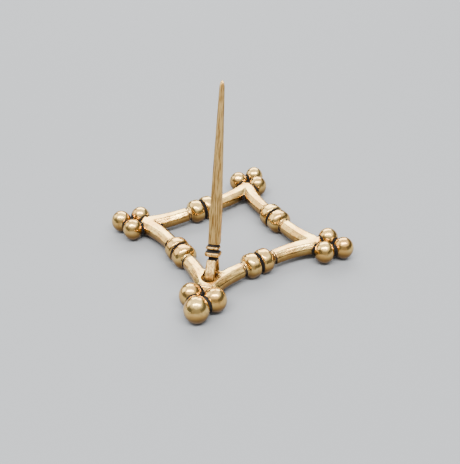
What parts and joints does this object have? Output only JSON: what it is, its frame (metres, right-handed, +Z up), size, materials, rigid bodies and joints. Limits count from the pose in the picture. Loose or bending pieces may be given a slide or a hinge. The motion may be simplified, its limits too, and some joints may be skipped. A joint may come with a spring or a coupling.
{
  "type": "fibula brooch",
  "caption": "Open lozenge brooch in cast bronze, with beaded bars, a cluster of balls at each corner, and a collared pin whose eye turns on a bridge in one corner.",
  "frame": {"origin": "on the surface that the brooch lies on, under the middle of the frame", "axes": "+Z up out of the frame's face, +Y from the hinge corner to the corner that the pin closes on, X across"},
  "size_m": [0.0536, 0.0542, 0.0386],
  "materials": {
    "polished_bronze": "polished cast bronze, with dark patina left in the grooves",
    "filed_bronze": "filed bronze, drawn along its length, duller than the frame"
  },
  "bodies": {
    "frame": {"frame": "polished_bronze"},
    "pin": {"pin": "filed_bronze"}
  },
  "joints": [
    {"name": "pin_hinge", "type": "hinge", "parent": "frame", "child": "pin", "pos_m": [0, -0.0145, 0.0029], "axis": [1, 0, 0], "range_deg": [-67, 60]}
  ]
}
